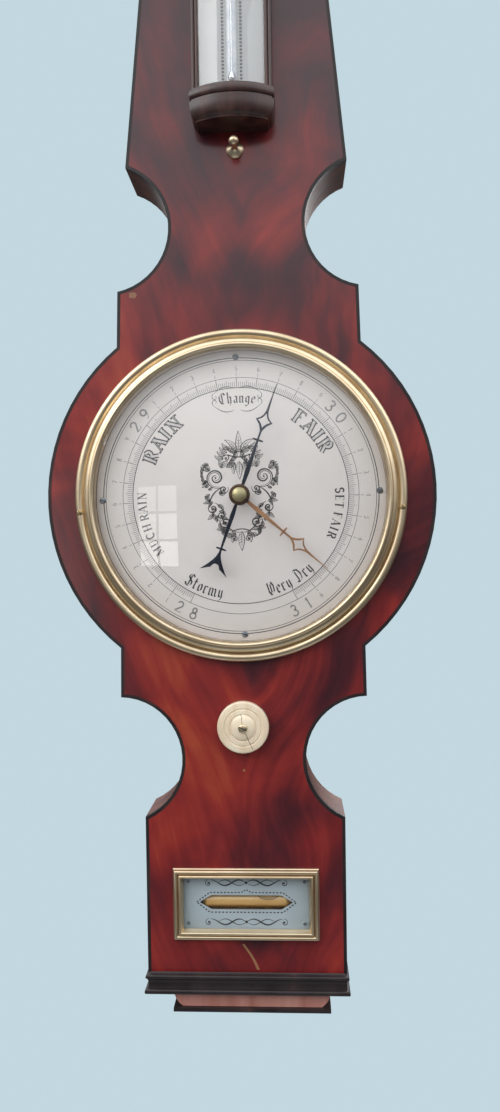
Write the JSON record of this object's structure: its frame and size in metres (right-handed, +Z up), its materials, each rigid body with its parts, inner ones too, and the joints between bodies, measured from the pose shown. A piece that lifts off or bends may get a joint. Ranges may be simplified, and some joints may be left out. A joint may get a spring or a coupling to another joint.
{
  "type": "wheel barometer",
  "caption": "Wall-hung wheel barometer in a shaped case: round glazed dial, two hands, setting knob, thermometer box and spirit level, with siphon tube inside.",
  "frame": {"origin": "middle of the hanging hole, on the back plane of the case", "axes": "+Z up, +Y into the wall, the dial faces -Y"},
  "size_m": [0.2608, 0.068, 1.0335],
  "materials": {
    "veneer": "french-polished flame mahogany",
    "mahogany": "polished mahogany",
    "pine": "bare old pine",
    "ebonised": "ebonised and polished",
    "brass": "polished and lacquered",
    "coppery_brass": "polished",
    "silvered": "silvered and engraved brass",
    "glass": "clear",
    "blued_steel": "blued",
    "steel": "dull",
    "bone": "polished bone",
    "mercury": "liquid metal",
    "cord": "gut and silk",
    "cork": "rough",
    "amber_vial": "filled with tinted spirit"
  },
  "bodies": {
    "case": {"carcass": "pine", "front_veneer": "veneer", "side_veneer": "mahogany", "ebony_edging": "ebonised", "base_moulding": "ebonised", "cornice_moulding": "ebonised", "base_block": "mahogany", "base_fillet": "ebonised", "pediment_board": "mahogany", "pediment_rakes": "ebonised", "finial": "brass", "dial_plate": "silvered", "dial_screws": "blued_steel", "dial_bush": "brass", "bezel": "brass", "bezel_screws": "brass", "dial_glass": "glass", "knob_bush": "brass", "setting_cord": "cord", "movement_bridge": "brass", "movement_front_plate": "brass", "siphon_tube": "glass", "mercury_column": "mercury", "mercury_short_column": "mercury", "silk_thread": "cord", "counterweight_tube": "glass", "tube_straps": "brass", "tube_packing": "cork", "hanging_plate": "brass", "lower_back_panel": "pine", "case_hinge_leaves": "brass", "back_screws": "steel", "level_frame": "brass", "level_glass": "glass", "level_plate": "silvered", "level_vial": "amber_vial", "level_pins": "blued_steel", "keeper_screws": "steel"},
    "indicator": {"indicator_hand": "blued_steel", "hand_arbor": "brass", "hand_cap": "brass"},
    "set_hand": {"set_hand": "coppery_brass", "set_hand_tube": "brass"},
    "setting_knob": {"setting_knob": "bone", "knob_spindle": "brass", "knob_screw": "steel"},
    "float": {"float": "glass"},
    "counterweight": {"counterweight": "glass"},
    "thermometer": {"thermo_backboard": "mahogany", "thermo_foot": "mahogany", "thermo_cap": "mahogany", "thermo_rails": "mahogany", "thermo_glass": "glass", "thermo_scale": "silvered", "thermo_tube": "glass", "thermo_clips": "brass"},
    "catch_knob": {"catch_knob": "brass"},
    "back_door": {"back_door": "pine", "door_hinge_leaves": "brass"},
    "turn_button": {"door_button": "brass"}
  },
  "joints": [
    {"name": "indicator_spin", "type": "hinge", "parent": "case", "child": "indicator", "pos_m": [0, 0, -0.59], "axis": [0, 1, 0], "range_deg": [-172.5, 133.5], "stiffness_Nm_per_rad": 0.00016},
    {"name": "float_slide", "type": "slide", "parent": "case", "child": "float", "axis": [0, 0, 1], "range_m": [-0.0167, 0.0215], "deforming": ["silk_thread", "mercury_short_column"]},
    {"name": "counterweight_slide", "type": "slide", "parent": "case", "child": "counterweight", "axis": [0, 0, 1], "range_m": [-0.0215, 0.0167]},
    {"name": "knob_spin", "type": "hinge", "parent": "case", "child": "setting_knob", "pos_m": [0, 0, -0.7442], "axis": [0, 1, 0], "continuous": true},
    {"name": "set_hand_spin", "type": "hinge", "parent": "case", "child": "set_hand", "pos_m": [0, 0, -0.59], "axis": [0, 1, 0], "continuous": true},
    {"name": "back_door_hinge", "type": "hinge", "parent": "case", "child": "back_door", "pos_m": [-0.075, -0.0035, -0.59], "axis": [0, 0, 1], "range_deg": [0, 85]},
    {"name": "button_turn", "type": "hinge", "parent": "case", "child": "turn_button", "pos_m": [0.082, -0.001, -0.59], "axis": [0, 1, 0], "range_deg": [-90, 0]},
    {"name": "thermometer_lift", "type": "slide", "parent": "case", "child": "thermometer", "axis": [0, 0, 1], "range_m": [0, 0.008]},
    {"name": "catch_turn", "type": "hinge", "parent": "case", "child": "catch_knob", "pos_m": [0, -0.043, -0.358], "axis": [0, 1, 0], "range_deg": [-90, 90]}
  ],
  "couplings": [
    {"joint": "float_slide", "follows": "indicator_spin", "m_per_rad": -0.007134},
    {"joint": "counterweight_slide", "follows": "indicator_spin", "m_per_rad": 0.007134},
    {"joint": "set_hand_spin", "follows": "knob_spin", "ratio": 1}
  ]
}
